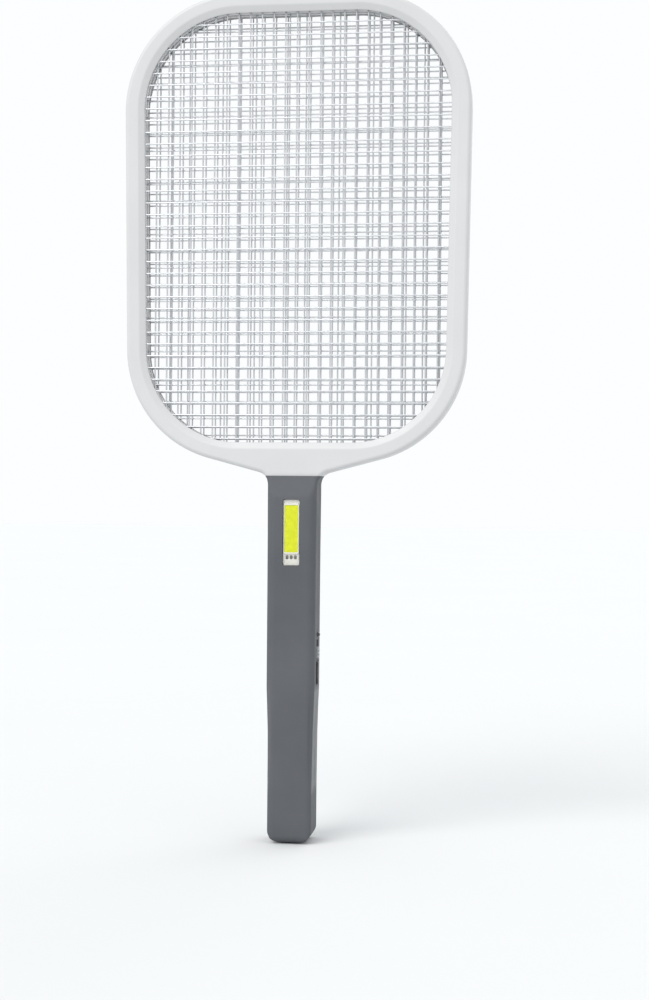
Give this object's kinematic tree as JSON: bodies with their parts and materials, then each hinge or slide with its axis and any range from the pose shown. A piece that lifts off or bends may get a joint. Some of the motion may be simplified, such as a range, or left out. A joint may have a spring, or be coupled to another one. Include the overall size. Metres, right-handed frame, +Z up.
{
  "type": "electric fly swatter",
  "caption": "Racket-shaped electric fly swatter: white two-shell head frame round a three-layer steel net, slim grey battery handle with lamp, slide switch, push button and charging socket.",
  "frame": {"origin": "centre of the grip, on the parting plane between the front and rear shells", "axes": "+Z runs up the swatter from the grip to the head, -Y is the front with the lamp, +X is the side with the switch and the button"},
  "size_m": [0.206, 0.027, 0.5],
  "materials": {
    "frame_plastic": "light grey-white moulded ABS, satin",
    "grip_plastic": "dark grey moulded ABS, fine satin texture",
    "net_steel": "bright drawn wire",
    "screw_steel": "zinc-plated",
    "terminal_brass": "plain",
    "lamp_clear": "clear polycarbonate, polished",
    "lamp_white": "white solder mask and silicone",
    "phosphor": "yellow LED phosphor, smooth",
    "solder": "bright solder",
    "knob_grey": "moulded, ribbed",
    "button_dark": "moulded, satin",
    "switch_metal": "stamped",
    "indicator_lens": "dark tinted, polished",
    "board_green": "solder mask",
    "ferrite": "sintered, matt",
    "component_black": "moulded epoxy",
    "copper_wire": "enamelled copper",
    "capacitor_red": "dipped epoxy",
    "capacitor_blue": "dipped epoxy",
    "resistor_tan": "lacquered",
    "cell_wrap": "blue shrink wrap over a steel can",
    "nickel": "nickel strip",
    "lead_red": "PVC insulation",
    "lead_white": "PVC insulation",
    "lead_yellow": "PVC insulation",
    "lead_black": "PVC insulation",
    "lead_orange": "PVC insulation"
  },
  "bodies": {
    "root": {"front_frame": "frame_plastic", "rear_frame": "frame_plastic", "front_net": "net_steel", "centre_net": "net_steel", "rear_net": "net_steel", "front_spacer_ring": "frame_plastic", "rear_spacer_ring": "frame_plastic", "frame_screws": "screw_steel", "net_terminals": "terminal_brass", "handle_front": "grip_plastic", "handle_rear": "grip_plastic", "handle_screws": "screw_steel", "lamp_window": "lamp_clear", "lamp_board": "lamp_white", "lamp_dam": "lamp_white", "lamp_phosphor": "phosphor", "lamp_solder_pads": "solder", "slide_switch_body": "switch_metal", "button_spring": "screw_steel", "button_switch": "component_black", "charge_indicator": "indicator_lens", "circuit_board": "board_green", "transformer_core": "ferrite", "transformer_bobbin": "component_black", "transformer_winding": "copper_wire", "high_voltage_capacitor": "capacitor_red", "multiplier_capacitors": "capacitor_blue", "multiplier_diodes": "component_black", "switching_transistor": "component_black", "resistors": "resistor_tan", "battery_cell": "cell_wrap", "battery_tabs": "nickel", "charge_board": "board_green", "usb_socket_shell": "nickel", "usb_tongue": "component_black", "net_lead_centre": "lead_red", "net_leads_outer": "lead_white", "lamp_leads": "lead_yellow", "battery_lead_black": "lead_black", "battery_lead_red": "lead_red", "charge_lead": "lead_orange"},
    "switch_knob": {"slide_switch_knob": "knob_grey"},
    "button": {"zap_button": "button_dark"}
  },
  "joints": [
    {"name": "switch_slide", "type": "slide", "parent": "root", "child": "switch_knob", "axis": [0, 0, 1], "range_m": [0, 0.004]},
    {"name": "button_press", "type": "slide", "parent": "root", "child": "button", "axis": [-1, 0, 0], "range_m": [0, 0.0012], "stiffness_N_per_m": 1000, "springref_m": -0.001, "deforming": ["button_spring"]}
  ]
}
